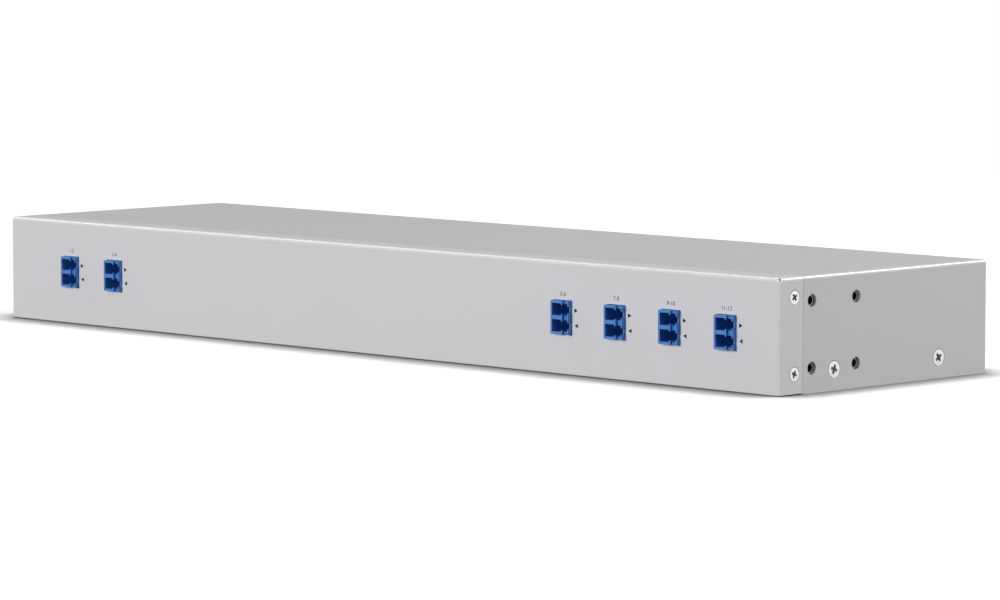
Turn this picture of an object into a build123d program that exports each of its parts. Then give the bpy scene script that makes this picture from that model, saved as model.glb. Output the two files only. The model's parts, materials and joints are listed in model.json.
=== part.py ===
from build123d import *
import os

os.makedirs("parts", exist_ok=True)

# Closed sheet-steel box in millimetres: origin in the middle of its underside, front along -Y, top along +Z
body_width = 440.0
body_depth = 120.0
body_height = 43.6
sheet = 1.2
bend_inside = 0.3
skin_gap = 0.2
seam_gap = 0.15
fold_slit = 0.4
corner_relief = 0.4

# Front bezel, and the strip under the cover that its top flange rests on
bezel_flange = 12.9
bezel_lift = 0.4
seam_strip_reach = 8.0
seam_strip_gap = 0.4
rear_lip = 9.0

# Rack ear holes in each side wall
ear_pitch = 25.0
ear_from_front = 30.4
ear_clear_radius = 2.4

# Screws and hexagonal weld nuts
thread_gap = 0.05
clear_gap = 0.1
m3_radius = 1.5
m3_head_radius = 2.75
m3_length = 6.0
m3_nut_flats = 5.5
m3_nut_height = 2.4
m4_radius = 2.0
m4_bore_radius = 1.65
m4_head_radius = 3.35
m4_length = 6.0
m4_nut_flats = 7.0
m4_nut_height = 3.2
screw_sides = 16

# Places of the side screws, from the box's front face, rear, underside and top
bezel_screw_from_front = 8.3
bezel_screw_from_under = 7.7
bezel_screw_from_top = 7.6
cover_screw_from_front = 30.6
cover_screw_from_rear = 28.9
cover_screw_from_under = 7.9

# Upright duplex adapters: two on the left, four on the right
channels = 4
left_port_inset = 40.0
right_port_inset = 26.0
port_from_cassette = 50.0
adapter_width = 9.4
adapter_height = 12.9
front_length = 14.2
rear_length = 13.2
stand_out = 2.0
corner_chamfer = 0.35
cut_gap = 0.2
shoulder_rise = 1.3
shoulder_depth = 1.5

# One port of an adapter: square cavity, throat between two tabs, latch zone, notch
bore_pitch = 6.25
cavity_size = 4.7
side_wall = 0.85
tab_length = 0.6
throat_height = 3.4
latch_height = 4.3
latch_wall = 0.45
notch_height = 2.4
notch_depth = 1.15
ramp_depth = 1.1
ramp_rise = 0.95
web = 1.0
small_sides = 8

# Sleeve barrel in the middle of each port
barrel_radius = 1.4
barrel_reach = 4.1
barrel_lip = 0.6
lip_radius = 0.68
sleeve_radius = 0.81
sleeve_wall = 0.175
sleeve_half = 3.4
sleeve_slit = 0.3
sleeve_gap = 0.03
ferrule_radius = 0.625
ferrule_gap = 0.05

# Spring clip that holds an adapter in its bracket
clip_strip = 0.3
clip_gap = 0.05
clip_width = 5.5
finger_width = 4.0
finger_rise = 1.1
finger_seat = 0.15

# Plug, boot and lead on the back of each port
plug_size = 4.5
plug_nose_gap = 0.3
plug_pocket = 3.1
plug_pocket_gap = 0.5
plug_overhang = 9.0
lever_width = 3.0
lever_thickness = 0.8
lever_foot = 1.0
lever_rise = 3.1
lever_reach = 6.0
boot_radius = 2.1
boot_length = 20.0
boot_tip_radius = 1.45
lead_radius = 1.0
lead_straight = 1.0
lead_inside = 4.0
lead_gap = 0.05

# Adapter bracket behind the bezel
bracket_top_gap = 1.2
bracket_depth = 13.2
bracket_end_gap = 0.4

# Filter cassette on its standoffs, in the middle of the box
cassette_width = 120.0
cassette_height = 18.0
cassette_front_gap = 6.6
cassette_rear_gap = 1.4
cassette_wall = 1.5
cassette_corner = 3.0
cassette_lid_depth = 1.5
post_size = 7.0
post_inset = 4.5
standoff_flats = 5.5
standoff_bore = 8.0
cassette_screw_grip = 5.0
pan_head_radius = 2.75
pan_head_height = 1.8

# Lanes of the leads between the plugs and the cassette
smallest_bend = 17.6
last_lane_from_rear = 17.0

# Slotted glands that clamp the leads in the cassette's side walls
gland_margin = 4.0
gland_lip = 1.5
gland_floor = 2.5

# Filter tubes in their rack
filter_radius = 2.75
filter_length = 34.0
filter_pitch = 6.8
filter_rows = 4
filter_gap = 0.05
filter_seat = 2.0
filter_apart = 6.0
rack_height = 4.0
rack_margin = 3.0

# Combs that carry the leads between the plugs and the cassette
comb_from_cassette = 16.0
comb_plate = 3.0
comb_foot_width = 12.0
comb_foot_height = 3.0
comb_margin = 6.0
comb_top = 4.0

# Values worked out from the sizes above
bend = sheet + bend_inside
side = body_width / 2
front = -body_depth / 2
rear = body_depth / 2
bezel_back = front + bezel_flange
cover_front = bezel_back + seam_gap
skin_depth = sheet + skin_gap
tray_side = side - skin_depth
tray_front = front + skin_depth
tray_rear = rear - skin_depth
tray_top = body_height - skin_depth
inner_side = tray_side - sheet
weld = front - stand_out + front_length
adapter_front = front - stand_out
adapter_back = weld + rear_length
bracket_side = inner_side - bracket_end_gap
bracket_rear = weld + sheet
cavity_middle = -adapter_width / 2 + side_wall + cavity_size / 2
throat_start = cavity_middle + cavity_size / 2
latch_start = throat_start + tab_length
latch_end = adapter_width / 2 - latch_wall
port_height = (bezel_lift + body_height) / 2
bore_offsets = ((0, bore_pitch / 2), (0, -bore_pitch / 2))
bore_heights = (port_height + bore_pitch / 2, port_height - bore_pitch / 2)
plug_nose = weld + web + plug_nose_gap
pocket_end = weld + barrel_reach + plug_pocket_gap
plug_back = adapter_back + plug_overhang
boot_end = plug_back + boot_length
bracket_edge = weld + bracket_depth
bracket_top = body_height - 2 * sheet - bracket_top_gap
cassette_front = bracket_edge + cassette_front_gap
cassette_depth = tray_rear - sheet - cassette_rear_gap - cassette_front
cassette_back = cassette_front + cassette_depth / 2
cassette_floor = port_height - cassette_height / 2
cassette_top = port_height + cassette_height / 2
base_top = cassette_top - cassette_lid_depth
cavity_floor = cassette_floor + cassette_wall
post_places = [
    (way * (cassette_width / 2 - post_inset), cassette_back + way * (cassette_depth / 2 - post_inset))
    for way in (-1, 1)
]
first_lane = boot_end + lead_straight + smallest_bend
last_lane = rear - last_lane_from_rear
lane_pitch = (last_lane - first_lane) / (channels - 1)
lanes = [first_lane + lane_pitch * step for step in range(channels)]
comb_across = cassette_width / 2 + comb_from_cassette
left_port = left_port_inset - side
first_channel = cassette_width / 2 + port_from_cassette
port_pitch = (side - right_port_inset - first_channel) / (channels - 1)
ports = {
    "common": (left_port, lanes[2]),
    "express": (left_port + port_pitch, lanes[1]),
}
for channel in range(channels):
    ports[f"channel_{channel + 1}"] = (first_channel + port_pitch * channel, lanes[channel])
sides = {
    "left": (-1, lanes[1:3]),
    "right": (1, lanes),
}


def across(y):
    """Plane that stands across the box at depth y; extrusions from it go to the front."""
    return Plane.XZ.offset(-y)


def side_places(depths, heights):
    """Planes on both outer side faces, looking outwards."""
    return [
        Plane(origin=(way * side, depth, height), z_dir=(way, 0, 0))
        for way in (-1, 1)
        for depth in depths
        for height in heights
    ]


def inwards(places, depth):
    """The same planes, moved into the box by a depth."""
    return [place.offset(-depth) for place in places]


def screw_outline(radius):
    """Many-sided outline of a screw or of its hole, with its flats at the radius."""
    RegularPolygon(radius, screw_sides, major_radius=False, rotation=180 / screw_sides)


bezel_screw_places = side_places(
    [front + bezel_screw_from_front], [bezel_screw_from_under, body_height - bezel_screw_from_top]
)
cover_screw_places = side_places(
    [front + cover_screw_from_front, rear - cover_screw_from_rear], [cover_screw_from_under]
)
ear_places = side_places(
    [front + ear_from_front - ear_pitch / 2, front + ear_from_front + ear_pitch / 2],
    [(body_height - ear_pitch) / 2, (body_height + ear_pitch) / 2],
)


# Base tray: floor, inner side walls and rear wall in one sheet, with nuts welded inside its sides
with BuildPart() as base_tray:
    with BuildSketch():
        with Locations((0, (tray_front + tray_rear) / 2)):
            Rectangle(2 * tray_side, tray_rear - tray_front)
    extrude(amount=tray_top)
    fillet(base_tray.edges().filter_by(Axis.Y).group_by(Axis.Z)[0], radius=bend)
    fillet(base_tray.edges().filter_by(Axis.X).group_by(Axis.Z)[0].sort_by(Axis.Y)[-1], radius=bend)
    tray_openings = [base_tray.faces().sort_by(Axis.Z)[-1], base_tray.faces().sort_by(Axis.Y)[0]]
    offset(amount=-sheet, openings=tray_openings)
    with BuildSketch(Plane.XY.offset(bend)):
        for way in (-1, 1):
            with Locations((way * (inner_side - fold_slit / 2), tray_rear - sheet / 2)):
                Rectangle(fold_slit, 2 * sheet)
    extrude(amount=tray_top, mode=Mode.SUBTRACT)
    with BuildSketch():
        for way in (-1, 1):
            with Locations((way * (tray_side - bend / 2), tray_rear - bend / 2)):
                Rectangle(bend, bend)
    extrude(amount=bend, mode=Mode.SUBTRACT)
    for places, flats, height in (
        (bezel_screw_places, m3_nut_flats, m3_nut_height),
        (cover_screw_places, m4_nut_flats, m4_nut_height),
        (ear_places, m4_nut_flats, m4_nut_height),
    ):
        with BuildSketch(*inwards(places, skin_depth + sheet)):
            RegularPolygon(flats / 2, 6, major_radius=False)
        extrude(amount=-height)
    for places, bore_radius, height in (
        (bezel_screw_places, m3_radius + thread_gap, m3_nut_height),
        (cover_screw_places, m4_radius + thread_gap, m4_nut_height),
    ):
        with BuildSketch(*inwards(places, skin_depth)):
            screw_outline(bore_radius)
        extrude(amount=-sheet - height, mode=Mode.SUBTRACT)
    with Locations(*inwards(ear_places, skin_depth)):
        Hole(m4_bore_radius, depth=sheet + m4_nut_height)
base_tray.part.label = "base_tray"
export_step(base_tray.part, "parts/base_tray.step")

# Top cover: top, outer side walls, rear lip and the strip under the bezel's top flange
with BuildPart() as top_cover:
    with BuildSketch():
        with Locations((0, (cover_front + rear) / 2)):
            Rectangle(body_width, rear - cover_front)
    extrude(amount=body_height)
    fillet(top_cover.edges().filter_by(Axis.Y).group_by(Axis.Z)[-1], radius=bend)
    fillet(top_cover.edges().filter_by(Axis.X).group_by(Axis.Z)[-1].sort_by(Axis.Y)[-1], radius=bend)
    cover_openings = [top_cover.faces().sort_by(Axis.Z)[0], top_cover.faces().sort_by(Axis.Y)[0]]
    offset(amount=-sheet, openings=cover_openings)
    with BuildSketch():
        with Locations((0, rear - sheet / 2)):
            Rectangle(2 * (side - sheet), 2 * sheet)
    extrude(amount=body_height - rear_lip, mode=Mode.SUBTRACT)
    with BuildSketch():
        for way in (-1, 1):
            with Locations((way * (side - sheet - fold_slit / 2), rear - sheet / 2)):
                Rectangle(fold_slit, 2 * sheet)
    extrude(amount=body_height - bend, mode=Mode.SUBTRACT)
    with BuildSketch(Plane.XY.offset(body_height - sheet)):
        with Locations((0, cover_front)):
            Rectangle(2 * (inner_side - seam_strip_gap), 2 * seam_strip_reach)
    extrude(amount=-sheet)
    with Locations(*ear_places):
        Hole(ear_clear_radius, depth=2 * sheet)
    with BuildSketch(*cover_screw_places):
        screw_outline(m4_head_radius + clear_gap)
    extrude(amount=-skin_depth, taper=45, mode=Mode.SUBTRACT)
top_cover.part.label = "top_cover"
export_step(top_cover.part, "parts/top_cover.step")

# Front bezel: face with the adapters' cut-outs, top flange and two side flanges
with BuildPart() as front_bezel:
    with BuildSketch(Plane.XY.offset(bezel_lift)):
        with Locations((0, (front + bezel_back) / 2)):
            Rectangle(body_width, bezel_flange)
    extrude(amount=body_height - bezel_lift)
    bezel_folds = (
        front_bezel.edges().filter_by(Axis.Y).group_by(Axis.Z)[-1]
        + front_bezel.edges().filter_by(Axis.X).group_by(Axis.Z)[-1].sort_by(Axis.Y)[:1]
        + front_bezel.edges().filter_by(Axis.Z).group_by(Axis.Y)[0]
    )
    fillet(bezel_folds, radius=bend)
    bezel_openings = [front_bezel.faces().sort_by(Axis.Z)[0], front_bezel.faces().sort_by(Axis.Y)[-1]]
    offset(amount=-sheet, openings=bezel_openings)
    with BuildSketch(across(front + 2 * sheet)):
        with Locations(*[(x, port_height) for x, lane in ports.values()]):
            Rectangle(adapter_width + 2 * cut_gap, adapter_height + 2 * cut_gap)
    extrude(amount=3 * sheet, mode=Mode.SUBTRACT)
    for way in (-1, 1):
        corner = (way * (side - bend), front + bend, body_height - bend)
        with BuildSketch(Plane(origin=corner, z_dir=(way, -1, 1))):
            Circle(corner_relief)
        extrude(amount=2 * bend, mode=Mode.SUBTRACT)
    with BuildSketch(*bezel_screw_places):
        screw_outline(m3_head_radius + clear_gap)
    extrude(amount=-skin_depth, taper=45, mode=Mode.SUBTRACT)
front_bezel.part.label = "front_bezel"
export_step(front_bezel.part, "parts/front_bezel.step")

# Adapter bracket: a channel welded to the floor behind the bezel
with BuildPart() as adapter_bracket:
    with BuildSketch(Plane.XY.offset(sheet)):
        with Locations((0, weld + bracket_depth / 2)):
            Rectangle(2 * bracket_side, bracket_depth)
    extrude(amount=bracket_top - sheet)
    fillet(adapter_bracket.edges().filter_by(Axis.X).group_by(Axis.Y)[0], radius=bend)
    bracket_openings = adapter_bracket.faces().sort_by(Axis.Y)[-1:] + adapter_bracket.faces().filter_by(Axis.X)
    offset(amount=-sheet, openings=bracket_openings)
    with BuildSketch(across(weld + 2 * sheet)):
        with Locations(*[(x, port_height) for x, lane in ports.values()]):
            Rectangle(adapter_width + 2 * cut_gap, adapter_height + 2 * cut_gap)
    extrude(amount=3 * sheet, mode=Mode.SUBTRACT)
adapter_bracket.part.label = "adapter_bracket"
export_step(adapter_bracket.part, "parts/adapter_bracket.step")

# Screws of the box
for name, places, radius, head_radius, length in (
    ("bezel_screws", bezel_screw_places, m3_radius, m3_head_radius, m3_length),
    ("cover_screws", cover_screw_places, m4_radius, m4_head_radius, m4_length),
):
    with BuildPart() as screws:
        with BuildSketch(*places):
            screw_outline(head_radius)
        extrude(amount=radius - head_radius, taper=45)
        with BuildSketch(*places):
            screw_outline(radius)
        extrude(amount=-length)
    screws.part.label = name
    export_step(screws.part, f"parts/{name}.step")


# Pieces of one port, modelled with the adapter in the middle of the box
def port_openings():
    """Square cavity, throat between the tabs, and latch zone of both ports."""
    with Locations(*bore_offsets):
        with Locations((cavity_middle, 0)):
            Rectangle(cavity_size, cavity_size)
        with Locations(((throat_start + latch_start) / 2, 0)):
            Rectangle(tab_length, throat_height)
        with Locations(((latch_start + latch_end) / 2, 0)):
            Rectangle(latch_end - latch_start, latch_height)


with BuildPart() as front_shell:
    with BuildSketch(across(weld)):
        Rectangle(adapter_width, adapter_height)
    extrude(amount=front_length)
    chamfer(front_shell.edges().filter_by(Axis.Y), corner_chamfer)
    with BuildSketch(across(weld)):
        Rectangle(adapter_width, adapter_height + 2 * shoulder_rise)
    extrude(amount=shoulder_depth)
    with BuildSketch(across(weld)):
        port_openings()
    extrude(amount=front_length, mode=Mode.SUBTRACT)
    with BuildSketch(across(adapter_front + notch_depth)):
        with Locations(*[(adapter_width / 2, z) for x, z in bore_offsets]):
            Rectangle(4 * latch_wall, notch_height)
    extrude(amount=2 * notch_depth, mode=Mode.SUBTRACT)
    with BuildSketch(Plane.XY.offset(-adapter_height)):
        with BuildLine():
            Polyline(
                (latch_start, adapter_front),
                (latch_start, adapter_front + ramp_depth),
                (latch_end, adapter_front + ramp_depth - ramp_rise),
                (latch_end, adapter_front),
                close=True,
            )
        make_face()
    extrude(amount=2 * adapter_height, mode=Mode.SUBTRACT)

with BuildPart() as port_holders:
    with BuildSketch(across(weld)):
        port_openings()
    extrude(amount=web)
    with BuildSketch(across(weld)):
        with Locations(*[(cavity_middle, z) for x, z in bore_offsets]):
            RegularPolygon(barrel_radius, small_sides)
    extrude(amount=barrel_reach)
    with BuildSketch(across(weld)):
        with Locations(*[(cavity_middle, z) for x, z in bore_offsets]):
            RegularPolygon(sleeve_radius + sleeve_gap, small_sides)
    extrude(amount=barrel_reach - barrel_lip, mode=Mode.SUBTRACT)
    with BuildSketch(across(weld)):
        with Locations(*[(cavity_middle, z) for x, z in bore_offsets]):
            RegularPolygon(lip_radius, small_sides)
    extrude(amount=barrel_reach, mode=Mode.SUBTRACT)

with BuildPart() as rear_shell:
    with BuildSketch(across(adapter_back)):
        Rectangle(adapter_width, adapter_height)
    extrude(amount=rear_length)
    with BuildSketch(across(adapter_back)):
        port_openings()
    extrude(amount=rear_length - web, mode=Mode.SUBTRACT)
    with BuildSketch(across(adapter_back)):
        with Locations(*[(adapter_width / 2, z) for x, z in bore_offsets]):
            Rectangle(4 * latch_wall, notch_height)
    extrude(amount=notch_depth, mode=Mode.SUBTRACT)
    with BuildSketch(across(bracket_rear + clip_gap + clip_width)):
        Rectangle(2 * adapter_width, 2 * adapter_height)
        with Locations((adapter_width, 0)):
            Rectangle(
                3 * adapter_width - 2 * (clip_strip + clip_gap),
                adapter_height - 2 * (clip_strip + clip_gap),
                mode=Mode.SUBTRACT,
            )
    extrude(amount=clip_width, mode=Mode.SUBTRACT)
    with BuildSketch(across(weld)):
        with Locations(*[(cavity_middle, z) for x, z in bore_offsets]):
            RegularPolygon(barrel_radius, small_sides)
    extrude(amount=-barrel_reach)
    with BuildSketch(across(weld)):
        with Locations(*[(cavity_middle, z) for x, z in bore_offsets]):
            RegularPolygon(sleeve_radius + sleeve_gap, small_sides)
    extrude(amount=barrel_lip - barrel_reach, mode=Mode.SUBTRACT)
    with BuildSketch(across(weld)):
        with Locations(*[(cavity_middle, z) for x, z in bore_offsets]):
            RegularPolygon(lip_radius, small_sides)
    extrude(amount=-barrel_reach, mode=Mode.SUBTRACT)

clip_front = bracket_rear + clip_gap
with BuildPart() as clip:
    with BuildSketch(across(clip_front + clip_width)):
        with Locations((0, 0)):
            Rectangle(adapter_width, adapter_height)
        with Locations((clip_strip, 0)):
            Rectangle(adapter_width, adapter_height - 2 * clip_strip, mode=Mode.SUBTRACT)
    extrude(amount=clip_width)
    with BuildSketch(Plane.YZ.offset(-finger_width / 2)):
        for way in (-1, 1):
            with BuildLine():
                Polyline(
                    (clip_front + clip_width, way * (adapter_height / 2 - clip_strip)),
                    (clip_front + clip_width, way * adapter_height / 2),
                    (clip_front + finger_seat, way * (adapter_height / 2 + finger_rise + clip_strip)),
                    (clip_front + finger_seat, way * (adapter_height / 2 + finger_rise)),
                    close=True,
                )
            make_face()
    extrude(amount=finger_width)

with BuildPart() as plugs:
    with BuildSketch(across(plug_back)):
        with Locations(*[(cavity_middle, z) for x, z in bore_offsets]):
            Rectangle(plug_size, plug_size)
    extrude(amount=plug_back - plug_nose)
    for x, z in bore_offsets:
        with BuildSketch(Plane.XY.offset(z - lever_width / 2)):
            with BuildLine():
                plug_side = cavity_middle + plug_size / 2
                lever_foot_y = plug_nose + lever_foot
                Polyline(
                    (plug_side, lever_foot_y),
                    (plug_side + lever_thickness / 2, lever_foot_y),
                    (plug_side + lever_rise, adapter_back + lever_thickness),
                    (plug_side + lever_rise, adapter_back + lever_reach),
                    (plug_side + lever_rise - lever_thickness, adapter_back + lever_reach),
                    (plug_side + lever_rise - lever_thickness, adapter_back + 2 * lever_thickness),
                    (plug_side, lever_foot_y + 3 * lever_thickness),
                    close=True,
                )
            make_face()
        extrude(amount=lever_width)
    with BuildSketch(across(pocket_end)):
        with Locations(*[(cavity_middle, z) for x, z in bore_offsets]):
            Rectangle(plug_pocket, plug_pocket)
    extrude(amount=pocket_end - plug_nose, mode=Mode.SUBTRACT)

with BuildPart() as port_boots:
    for x, z in bore_offsets:
        for y, radius in ((plug_back, boot_radius), (boot_end, boot_tip_radius)):
            with BuildSketch(across(y)):
                with Locations((cavity_middle, z)):
                    RegularPolygon(radius, small_sides)
        loft()

port_locations = {port: Location((x, 0, port_height)) for port, (x, lane) in ports.items()}
for port, location in port_locations.items():
    for name, piece in (("front_shell", front_shell), ("rear_shell", rear_shell), ("plugs", plugs)):
        placed = piece.part.moved(location)
        placed.label = f"{port}_{name}"
        export_step(placed, f"parts/{port}_{name}.step")

for name, piece in (("adapter_clips", clip), ("sleeve_holders", port_holders), ("boots", port_boots)):
    group = Compound([piece.part.moved(location) for location in port_locations.values()])
    group.label = name
    export_step(group, f"parts/{name}.step")

# Split sleeves and ferrules, one to each bore
bore_places = [
    (port_across + cavity_middle, height) for port_across, lane in ports.values() for height in bore_heights
]
with BuildPart() as sleeves:
    with BuildSketch(across(weld + sleeve_half)):
        with Locations(*bore_places):
            RegularPolygon(sleeve_radius, small_sides)
            RegularPolygon(sleeve_radius - sleeve_wall, small_sides, mode=Mode.SUBTRACT)
        with Locations(*[(x, z + sleeve_radius) for x, z in bore_places]):
            Rectangle(sleeve_slit, sleeve_radius, mode=Mode.SUBTRACT)
    extrude(amount=2 * sleeve_half)
sleeves.part.label = "sleeves"
export_step(sleeves.part, "parts/sleeves.step")

with BuildPart() as ferrules:
    with BuildSketch(across(pocket_end)):
        with Locations(*bore_places):
            RegularPolygon(ferrule_radius, small_sides)
    extrude(amount=pocket_end - weld - ferrule_gap)
ferrules.part.label = "ferrules"
export_step(ferrules.part, "parts/ferrules.step")

# Leads: out of the boots, round one bend and along their lane into the cassette
with BuildPart() as leads:
    lead_total = 0
    for port_across, lane in ports.values():
        way = 1 if port_across > 0 else -1
        start_across = port_across + cavity_middle
        end_across = way * (cassette_width / 2 - cassette_wall - lead_inside)
        for height in bore_heights:
            with BuildLine() as route:
                FilletPolyline(
                    (start_across, boot_end, height),
                    (start_across, lane, height),
                    (end_across, lane, height),
                    radius=[lane - boot_end - lead_straight],
                )
            with BuildSketch(Plane(origin=(start_across, boot_end, height), z_dir=(0, 1, 0))) as section:
                RegularPolygon(lead_radius, 6)
            sweep(path=route.wire())
            lead_total += route.wire().length
    print("leads:", round(lead_total), "mm; volume over section times length:",
          round(leads.part.volume / lead_total / section.sketch.area, 5))
leads.part.label = "leads"
export_step(leads.part, "parts/leads.step")

# Filter cassette: base with a screw post in two corners, lid, screws and standoffs
with BuildPart() as cassette_base:
    with BuildSketch(Plane.XY.offset(cassette_floor)) as base_outline:
        with Locations((0, cassette_back)):
            Rectangle(cassette_width, cassette_depth)
        chamfer(base_outline.vertices(), cassette_corner)
    extrude(amount=base_top - cassette_floor)
    with BuildSketch(Plane.XY.offset(cavity_floor)) as cavity_outline:
        with Locations((0, cassette_back)):
            Rectangle(cassette_width - 2 * cassette_wall, cassette_depth - 2 * cassette_wall)
        chamfer(cavity_outline.vertices(), cassette_corner - cassette_wall)
        with Locations(*post_places):
            Rectangle(post_size, post_size, mode=Mode.SUBTRACT)
    extrude(amount=cassette_height, mode=Mode.SUBTRACT)
    with BuildSketch(Plane.XY.offset(cassette_floor)):
        with Locations(*post_places):
            screw_outline(m3_radius + clear_gap)
    extrude(amount=cassette_height, mode=Mode.SUBTRACT)
    for way, gland_lanes in sides.values():
        gland_length = gland_lanes[-1] - gland_lanes[0] + 2 * gland_margin
        gland_middle = (gland_lanes[0] + gland_lanes[-1]) / 2
        with BuildSketch(Plane.XY.offset(bore_heights[1] - lead_radius - gland_floor)):
            with Locations((way * (cassette_width - cassette_wall) / 2, gland_middle)):
                Rectangle(2 * cassette_wall, gland_length)
        extrude(amount=cassette_height, mode=Mode.SUBTRACT)
cassette_base.part.label = "cassette_base"
export_step(cassette_base.part, "parts/cassette_base.step")

with BuildPart() as cassette_lid:
    with BuildSketch(Plane.XY.offset(base_top)) as lid_outline:
        with Locations((0, cassette_back)):
            Rectangle(cassette_width, cassette_depth)
        chamfer(lid_outline.vertices(), cassette_corner)
    extrude(amount=cassette_lid_depth)
    with BuildSketch(Plane.XY.offset(base_top)):
        with Locations(*post_places):
            screw_outline(m3_radius + clear_gap)
    extrude(amount=cassette_lid_depth, mode=Mode.SUBTRACT)
cassette_lid.part.label = "cassette_lid"
export_step(cassette_lid.part, "parts/cassette_lid.step")

with BuildPart() as cassette_screws:
    with BuildSketch(Plane.XY.offset(cassette_top)):
        with Locations(*post_places):
            screw_outline(pan_head_radius)
    extrude(amount=pan_head_height)
    with BuildSketch(Plane.XY.offset(cassette_top)):
        with Locations(*post_places):
            screw_outline(m3_radius)
    extrude(amount=-cassette_height - cassette_screw_grip)
cassette_screws.part.label = "cassette_screws"
export_step(cassette_screws.part, "parts/cassette_screws.step")

with BuildPart() as standoffs:
    with BuildSketch(Plane.XY.offset(sheet)):
        with Locations(*post_places):
            RegularPolygon(standoff_flats / 2, 6, major_radius=False)
    extrude(amount=cassette_floor - sheet)
    with BuildSketch(Plane.XY.offset(cassette_floor)):
        with Locations(*post_places):
            screw_outline(m3_radius + thread_gap)
    extrude(amount=-standoff_bore, mode=Mode.SUBTRACT)
standoffs.part.label = "standoffs"
export_step(standoffs.part, "parts/standoffs.step")


# Glands: waisted blocks dropped into the side walls, slotted for the leads
def lead_slots(plate_middle, plate_width, slot_lanes):
    """Slots, open at the top, that hold an upper and a lower lead in each lane."""
    with Locations(*[(plate_middle, y, bore_heights[1] - lead_radius - lead_gap) for y in slot_lanes]):
        Box(
            plate_width,
            2 * (lead_radius + lead_gap),
            body_height,
            align=(Align.CENTER, Align.CENTER, Align.MIN),
            mode=Mode.SUBTRACT,
        )


for name, (way, gland_lanes) in sides.items():
    gland_length = gland_lanes[-1] - gland_lanes[0] + 2 * gland_margin
    gland_middle = (gland_lanes[0] + gland_lanes[-1]) / 2
    gland_base = bore_heights[1] - lead_radius - gland_floor
    wall_middle = way * (cassette_width - cassette_wall) / 2
    with BuildPart() as gland:
        with BuildSketch(Plane.XY.offset(gland_base)):
            with Locations((wall_middle, gland_middle)):
                Rectangle(cassette_wall, gland_length)
        extrude(amount=base_top - gland_base)
        with BuildSketch(Plane.XY.offset(gland_base - gland_lip / 2)):
            for step in (-1, 1):
                with Locations((wall_middle + step * (cassette_wall + gland_lip) / 2, gland_middle)):
                    Rectangle(gland_lip, gland_length + gland_lip)
        extrude(amount=base_top - gland_base + gland_lip / 2)
        lead_slots(wall_middle, 4 * cassette_wall + 4 * gland_lip, gland_lanes)
    gland.part.label = f"{name}_gland"
    export_step(gland.part, f"parts/{name}_gland.step")

# Filter rack and the thin-film filter tubes that lie in its grooves
rack_top = cavity_floor + rack_height
filter_height = rack_top - filter_seat + filter_radius
filter_lanes = [
    cassette_back + filter_pitch * (step - (filter_rows - 1) / 2) for step in range(filter_rows)
]
with BuildPart() as filter_rack:
    with BuildSketch(Plane.XY.offset(cavity_floor)):
        with Locations((0, cassette_back)):
            Rectangle(
                2 * filter_length + filter_apart,
                filter_pitch * (filter_rows - 1) + 2 * filter_radius + 2 * rack_margin,
            )
    extrude(amount=rack_height)
    with BuildSketch(Plane.XY.offset(rack_top - filter_seat)):
        with Locations(*[(0, y) for y in filter_lanes]):
            Rectangle(2 * cassette_width, 2 * (filter_radius + filter_gap))
    extrude(amount=rack_height, mode=Mode.SUBTRACT)
filter_rack.part.label = "filter_rack"
export_step(filter_rack.part, "parts/filter_rack.step")

for name, way in (("mux_filters", 1), ("demux_filters", -1)):
    with BuildPart() as filters:
        with BuildSketch(Plane.YZ.offset(way * filter_apart / 2)):
            with Locations(*[(y, filter_height) for y in filter_lanes]):
                RegularPolygon(filter_radius, small_sides, major_radius=False, rotation=180 / small_sides)
        extrude(amount=way * filter_length)
    filters.part.label = name
    export_step(filters.part, f"parts/{name}.step")

# Combs: a slotted plate on a foot that is bonded to the floor
for name, (way, comb_lanes) in sides.items():
    comb_length = comb_lanes[-1] - comb_lanes[0] + 2 * comb_margin
    comb_middle = (comb_lanes[0] + comb_lanes[-1]) / 2
    with BuildPart() as comb:
        with BuildSketch(Plane.XY.offset(sheet)):
            with Locations((way * comb_across, comb_middle)):
                Rectangle(comb_foot_width, comb_length)
        extrude(amount=comb_foot_height)
        with BuildSketch(Plane.XY.offset(sheet)):
            with Locations((way * comb_across, comb_middle)):
                Rectangle(comb_plate, comb_length)
        extrude(amount=bore_heights[0] + comb_top - sheet)
        lead_slots(way * comb_across, 2 * comb_plate, comb_lanes)
    comb.part.label = f"{name}_comb"
    export_step(comb.part, f"parts/{name}_comb.step")
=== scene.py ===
"""Looks of a coarse wavelength multiplexer: painted sheet steel, plated screws, moulded fibre
adapters, printed port marks and the studio around them.

Lengths are in metres, in the part's own frame: +X right, -Y front, +Z up.
"""

import json
import logging
import math
from dataclasses import dataclass, replace
from enum import Enum
from typing import ClassVar

import bmesh
import bpy
from mathutils import Matrix, Vector


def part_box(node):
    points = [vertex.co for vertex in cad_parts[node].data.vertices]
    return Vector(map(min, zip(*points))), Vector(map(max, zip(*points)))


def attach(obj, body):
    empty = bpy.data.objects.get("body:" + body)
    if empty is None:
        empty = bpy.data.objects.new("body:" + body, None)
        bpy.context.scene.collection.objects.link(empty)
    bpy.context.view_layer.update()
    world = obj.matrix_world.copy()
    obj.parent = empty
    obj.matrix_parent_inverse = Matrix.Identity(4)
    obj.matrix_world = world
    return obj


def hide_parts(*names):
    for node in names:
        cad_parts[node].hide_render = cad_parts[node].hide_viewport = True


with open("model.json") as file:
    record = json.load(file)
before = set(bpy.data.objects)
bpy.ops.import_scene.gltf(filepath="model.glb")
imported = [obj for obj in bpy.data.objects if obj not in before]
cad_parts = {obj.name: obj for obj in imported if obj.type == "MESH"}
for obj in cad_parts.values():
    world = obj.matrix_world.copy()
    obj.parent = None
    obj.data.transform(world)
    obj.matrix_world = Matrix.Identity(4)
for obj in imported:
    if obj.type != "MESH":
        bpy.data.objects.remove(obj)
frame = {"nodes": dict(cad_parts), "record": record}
log = logging.getLogger("multiplexer")

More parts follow.
